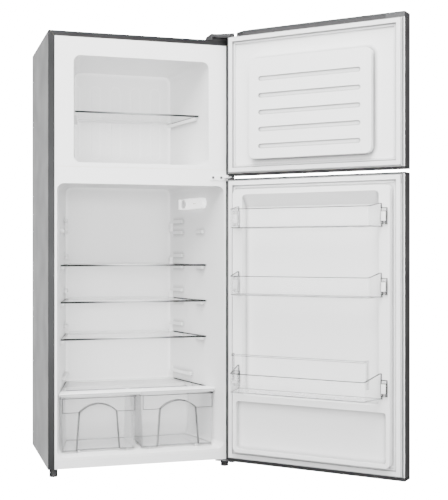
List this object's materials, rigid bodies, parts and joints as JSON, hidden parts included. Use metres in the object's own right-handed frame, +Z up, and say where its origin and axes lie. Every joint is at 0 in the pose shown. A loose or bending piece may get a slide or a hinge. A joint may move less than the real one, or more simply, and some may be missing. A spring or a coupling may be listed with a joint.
{
  "type": "top freezer refrigerator",
  "caption": "Upright refrigerator with a freezer above a fridge, right-hinged doors, glass shelves, crisper drawers and door bins, cooled by a rear wire condenser and compressor.",
  "frame": {"origin": "on the floor under the middle of the cabinet's footprint", "axes": "+Z up, doors and openings towards -Y, door hinges on the +X side"},
  "size_m": [1.1114, 1.0473, 1.5415],
  "materials": {
    "grey_steel": "satin",
    "zinc_steel": "satin",
    "light_steel": "satin",
    "white_enamel": "gloss",
    "white_plastic": "satin",
    "dark_plastic": "matte",
    "clear_plastic": "polished",
    "shelf_glass": "polished",
    "lamp_glass": "polished",
    "seal_rubber": "satin",
    "black_rubber": "matte",
    "foam": "matte",
    "aluminium": "satin",
    "black_enamel": "gloss",
    "copper": "satin"
  },
  "bodies": {
    "cabinet": {"cabinet_shell": "grey_steel", "back_panel": "zinc_steel", "cabinet_foam": "foam", "evaporator_plates": "aluminium", "base_plate": "light_steel", "compartment_panel": "zinc_steel", "compressor_tray": "zinc_steel", "fridge_liner": "white_plastic", "freezer_liner": "white_plastic", "screws": "zinc_steel", "top_hinge": "zinc_steel", "hinge_cover": "dark_plastic", "middle_hinge": "white_enamel", "bottom_hinge": "grey_steel", "roller_brackets": "zinc_steel", "lamp_housing": "white_plastic", "lamp_bulb": "lamp_glass", "compressor": "black_enamel", "compressor_mounts": "black_rubber", "relay_cover": "dark_plastic", "drip_tray": "dark_plastic", "drain_tube": "dark_plastic", "cord_gland": "dark_plastic", "condenser_tube": "black_enamel", "condenser_wires": "black_enamel", "condenser_clips": "dark_plastic", "refrigerant_tubes": "copper", "filter_drier": "copper"},
    "freezer_door": {"freezer_door_panel": "grey_steel", "freezer_door_liner": "white_plastic", "freezer_door_foam": "foam", "freezer_door_gasket": "seal_rubber", "freezer_door_top_cap": "dark_plastic", "freezer_door_bottom_cap": "dark_plastic", "freezer_door_blank": "dark_plastic", "freezer_door_bushings": "white_plastic"},
    "fridge_door": {"fridge_door_panel": "grey_steel", "fridge_door_liner": "white_plastic", "fridge_door_foam": "foam", "fridge_door_gasket": "seal_rubber", "fridge_door_top_cap": "dark_plastic", "fridge_door_bottom_cap": "dark_plastic", "fridge_door_bushings": "white_plastic"},
    "left_foot": {"left_foot": "black_rubber"},
    "right_foot": {"right_foot": "black_rubber"},
    "left_roller": {"left_roller": "black_rubber"},
    "right_roller": {"right_roller": "black_rubber"},
    "thermostat_dial": {"thermostat_dial": "white_plastic"},
    "upper_shelf": {"upper_shelf": "shelf_glass"},
    "middle_shelf": {"middle_shelf": "shelf_glass"},
    "lower_shelf": {"lower_shelf": "shelf_glass"},
    "freezer_shelf": {"freezer_shelf": "shelf_glass"},
    "left_crisper": {"left_crisper": "clear_plastic"},
    "right_crisper": {"right_crisper": "clear_plastic"},
    "upper_bin": {"upper_bin": "clear_plastic"},
    "middle_bin": {"middle_bin": "clear_plastic"},
    "crisper_cover": {"crisper_glass": "shelf_glass", "crisper_trim": "white_plastic"},
    "bottle_bin": {"bottle_bin": "clear_plastic", "bottle_guard": "clear_plastic"}
  },
  "joints": [
    {"name": "freezer_door_swing", "type": "hinge", "parent": "cabinet", "child": "freezer_door", "pos_m": [0.317, -0.272, 1.289], "axis": [0, 0, 1], "range_deg": [-133.5, 6.5]},
    {"name": "fridge_door_swing", "type": "hinge", "parent": "cabinet", "child": "fridge_door", "pos_m": [0.317, -0.272, 0.525], "axis": [0, 0, 1], "range_deg": [-133.5, 6.5]},
    {"name": "upper_shelf_slide", "type": "slide", "parent": "cabinet", "child": "upper_shelf", "axis": [0, -1, 0], "range_m": [0, 0.25]},
    {"name": "middle_shelf_slide", "type": "slide", "parent": "cabinet", "child": "middle_shelf", "axis": [0, -1, 0], "range_m": [0, 0.25]},
    {"name": "lower_shelf_slide", "type": "slide", "parent": "cabinet", "child": "lower_shelf", "axis": [0, -1, 0], "range_m": [0, 0.25]},
    {"name": "freezer_shelf_slide", "type": "slide", "parent": "cabinet", "child": "freezer_shelf", "axis": [0, -1, 0], "range_m": [0, 0.2]},
    {"name": "crisper_cover_slide", "type": "slide", "parent": "cabinet", "child": "crisper_cover", "axis": [0, -1, 0], "range_m": [0, 0.25]},
    {"name": "left_crisper_slide", "type": "slide", "parent": "cabinet", "child": "left_crisper", "axis": [0, -1, 0], "range_m": [0, 0.2]},
    {"name": "right_crisper_slide", "type": "slide", "parent": "cabinet", "child": "right_crisper", "axis": [0, -1, 0], "range_m": [0, 0.2]},
    {"name": "upper_bin_lift", "type": "slide", "parent": "fridge_door", "child": "upper_bin", "axis": [0, 0, 1], "range_m": [0, 0.036]},
    {"name": "middle_bin_lift", "type": "slide", "parent": "fridge_door", "child": "middle_bin", "axis": [0, 0, 1], "range_m": [0, 0.036]},
    {"name": "bottle_bin_lift", "type": "slide", "parent": "fridge_door", "child": "bottle_bin", "axis": [0, 0, 1], "range_m": [0, 0.036]},
    {"name": "thermostat_turn", "type": "hinge", "parent": "cabinet", "child": "thermostat_dial", "pos_m": [0.23782, 0.03391, 0.9465], "axis": [-0.9783, -0.207, 0], "range_deg": [0, 270]},
    {"name": "left_foot_turn", "type": "hinge", "parent": "cabinet", "child": "left_foot", "pos_m": [-0.305, -0.219, 0], "axis": [0, 0, 1], "range_deg": [0, 360]},
    {"name": "right_foot_turn", "type": "hinge", "parent": "cabinet", "child": "right_foot", "pos_m": [0.305, -0.219, 0], "axis": [0, 0, 1], "range_deg": [0, 360]},
    {"name": "left_roller_spin", "type": "hinge", "parent": "cabinet", "child": "left_roller", "pos_m": [-0.292, 0.159, 0.018], "axis": [1, 0, 0], "continuous": true},
    {"name": "right_roller_spin", "type": "hinge", "parent": "cabinet", "child": "right_roller", "pos_m": [0.292, 0.159, 0.018], "axis": [1, 0, 0], "continuous": true}
  ]
}
